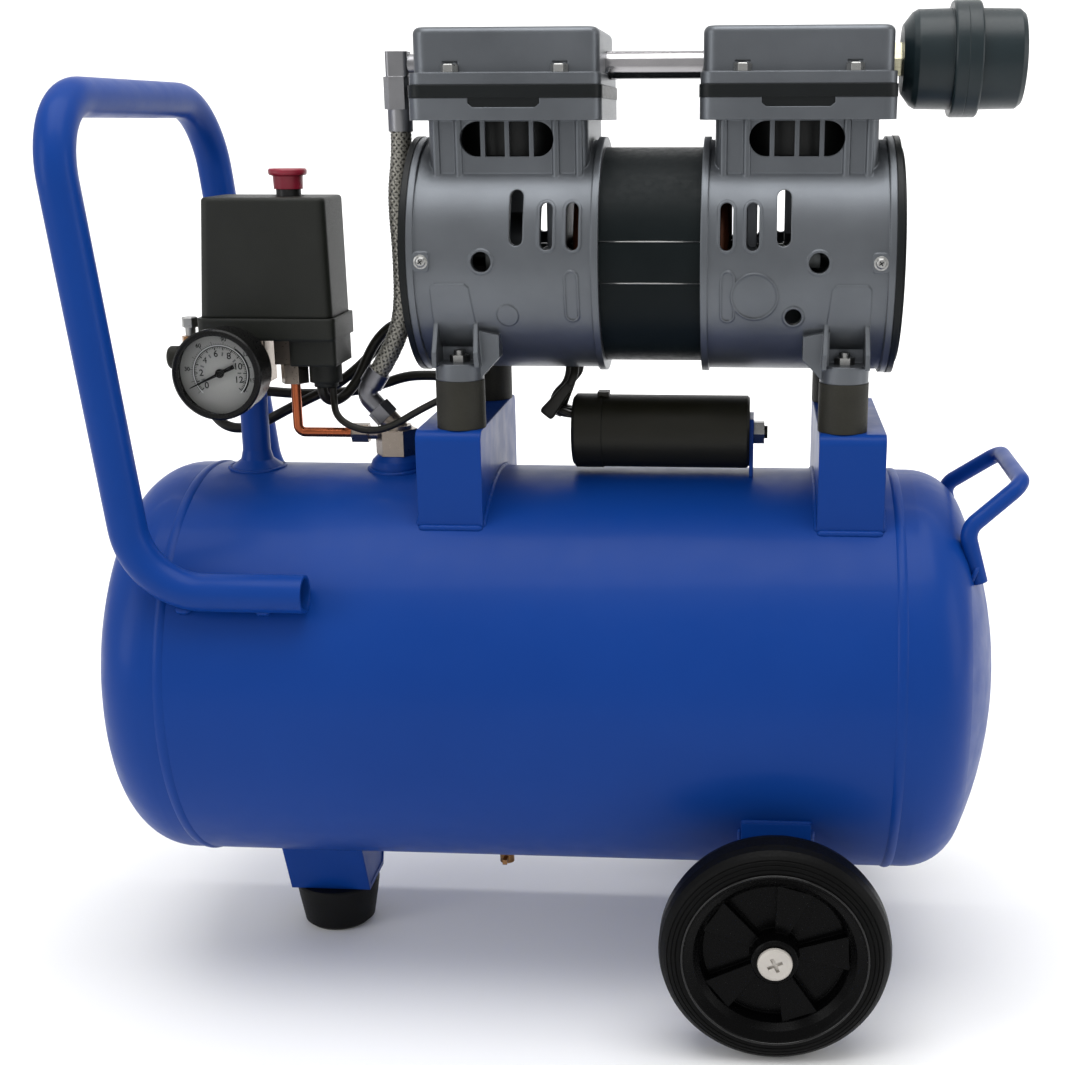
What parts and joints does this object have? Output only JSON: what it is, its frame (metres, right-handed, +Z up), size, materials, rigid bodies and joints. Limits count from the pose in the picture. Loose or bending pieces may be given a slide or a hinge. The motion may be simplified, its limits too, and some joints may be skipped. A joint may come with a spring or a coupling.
{
  "type": "hotdog air compressor",
  "caption": "Oil-free air compressor on a horizontal dished-end tank, with a tube handle, two wheels, a rubber foot, opposed-crank pump, pressure switch and gauge.",
  "frame": {"origin": "on the ground, under the middle of the machine's bounding box", "axes": "+X along the tank towards the wheels and the air filter, -Y towards the gauge's face, +Z up"},
  "size_m": [0.567, 0.333, 0.5863],
  "materials": {
    "blue_paint": "gloss",
    "cast_aluminium": "satin",
    "black_paint": "satin",
    "black_plastic": "satin",
    "hub_plastic": "matte",
    "switch_plastic": "fine grained",
    "knob_plastic": "gloss",
    "rubber": "matte",
    "tyre": "matte",
    "zinc_steel": "satin",
    "bright_steel": "satin",
    "plain_steel": "machined",
    "chrome": "polished",
    "nickel_brass": "plated",
    "brass": "satin",
    "copper": "drawn",
    "machined_aluminium": "machined",
    "hose_braid": "woven",
    "seal_plastic": "matte",
    "filter_foam": "open foam",
    "gauge_black": "gloss",
    "dial_white": "printed",
    "needle_black": "matte",
    "lens_glass": "clear",
    "lead_sheath": "satin"
  },
  "bodies": {
    "frame": {"tank_barrel": "blue_paint", "tank_ends": "blue_paint", "tank_fittings": "blue_paint", "handle_tube": "blue_paint", "rear_handle": "blue_paint", "foot_bracket": "blue_paint", "wheel_brackets": "blue_paint", "pump_brackets": "blue_paint", "rubber_foot": "rubber", "rubber_mounts": "rubber", "axle_bolts": "bright_steel", "mount_bolts": "zinc_steel", "head_bolts": "zinc_steel", "left_crankcase": "cast_aluminium", "right_crankcase": "cast_aluminium", "end_covers": "black_plastic", "stator_core": "black_paint", "stator_windings": "copper", "shaft_bearings": "plain_steel", "cylinder_sleeves": "machined_aluminium", "valve_plates": "black_paint", "reed_valves": "plain_steel", "head_covers": "cast_aluminium", "head_pipe": "chrome", "filter_housing": "black_plastic", "filter_cap": "black_plastic", "filter_element": "filter_foam", "hose_fittings": "zinc_steel", "discharge_hose": "hose_braid", "check_valve_body": "nickel_brass", "unloader_tube": "copper", "unloader_valve": "nickel_brass", "manifold_block": "cast_aluminium", "switch_base": "switch_plastic", "switch_cover": "switch_plastic", "gauge_case": "gauge_black", "gauge_dial": "dial_white", "gauge_lens": "lens_glass", "safety_valve_body": "brass", "outlet_valve": "nickel_brass", "capacitor": "black_plastic", "wiring": "lead_sheath"},
    "motor_rotor": {"motor_shaft": "plain_steel", "rotor_core": "plain_steel", "cooling_fans": "black_plastic", "eccentrics": "plain_steel"},
    "left_rod": {"left_connecting_rod": "cast_aluminium", "left_piston_cup": "seal_plastic"},
    "right_rod": {"right_connecting_rod": "cast_aluminium", "right_piston_cup": "seal_plastic"},
    "front_wheel": {"front_wheel_hub": "hub_plastic", "front_wheel_tyre": "tyre"},
    "rear_wheel": {"rear_wheel_hub": "hub_plastic", "rear_wheel_tyre": "tyre"},
    "drain_valve": {"drain_valve": "brass"},
    "switch_knob": {"switch_knob": "knob_plastic"},
    "gauge_needle": {"gauge_needle": "needle_black"},
    "safety_pin": {"safety_valve_pin": "bright_steel"},
    "outlet_knob": {"outlet_knob": "black_plastic"},
    "check_poppet": {"check_valve_poppet": "seal_plastic"}
  },
  "joints": [
    {"name": "shaft_spin", "type": "hinge", "parent": "frame", "child": "motor_rotor", "pos_m": [0.0615, 0, 0.4443], "axis": [1, 0, 0], "continuous": true},
    {"name": "left_rod_pin", "type": "hinge", "parent": "motor_rotor", "child": "left_rod", "pos_m": [-0.0197, 0, 0.4503], "axis": [1, 0, 0], "continuous": true, "deforming": ["left_piston_cup"]},
    {"name": "right_rod_pin", "type": "hinge", "parent": "motor_rotor", "child": "right_rod", "pos_m": [0.1427, 0, 0.4383], "axis": [1, 0, 0], "continuous": true, "deforming": ["right_piston_cup"]},
    {"name": "front_wheel_spin", "type": "hinge", "parent": "frame", "child": "front_wheel", "pos_m": [0.1385, -0.145, 0.0665], "axis": [0, 1, 0], "continuous": true},
    {"name": "rear_wheel_spin", "type": "hinge", "parent": "frame", "child": "rear_wheel", "pos_m": [0.1385, 0.145, 0.0665], "axis": [0, 1, 0], "continuous": true},
    {"name": "drain_valve_turn", "type": "hinge", "parent": "frame", "child": "drain_valve", "pos_m": [-0.0385, 0, 0.056], "axis": [0, 0, 1], "range_deg": [0, 540]},
    {"name": "switch_knob_slide", "type": "slide", "parent": "frame", "child": "switch_knob", "axis": [0, 0, 1], "range_m": [-0.006, 0]},
    {"name": "gauge_needle_turn", "type": "hinge", "parent": "frame", "child": "gauge_needle", "pos_m": [-0.19, -0.059, 0.3802], "axis": [0, 1, 0], "range_deg": [0, 240], "stiffness_Nm_per_rad": 0.0002, "springref_deg": -11.46},
    {"name": "safety_valve_pull", "type": "slide", "parent": "frame", "child": "safety_pin", "axis": [0, 0, 1], "range_m": [0, 0.003], "stiffness_N_per_m": 300, "springref_m": -0.001},
    {"name": "outlet_valve_turn", "type": "hinge", "parent": "frame", "child": "outlet_knob", "pos_m": [-0.2344, 0, 0.381], "axis": [1, 0, 0], "range_deg": [0, 360]},
    {"name": "check_valve_lift", "type": "slide", "parent": "frame", "child": "check_poppet", "axis": [0, 0, 1], "range_m": [0, 0.003], "stiffness_N_per_m": 100, "springref_m": -0.001}
  ],
  "couplings": [
    {"joint": "left_rod_pin", "follows": "shaft_spin", "ratio": -1},
    {"joint": "right_rod_pin", "follows": "shaft_spin", "ratio": -1}
  ]
}
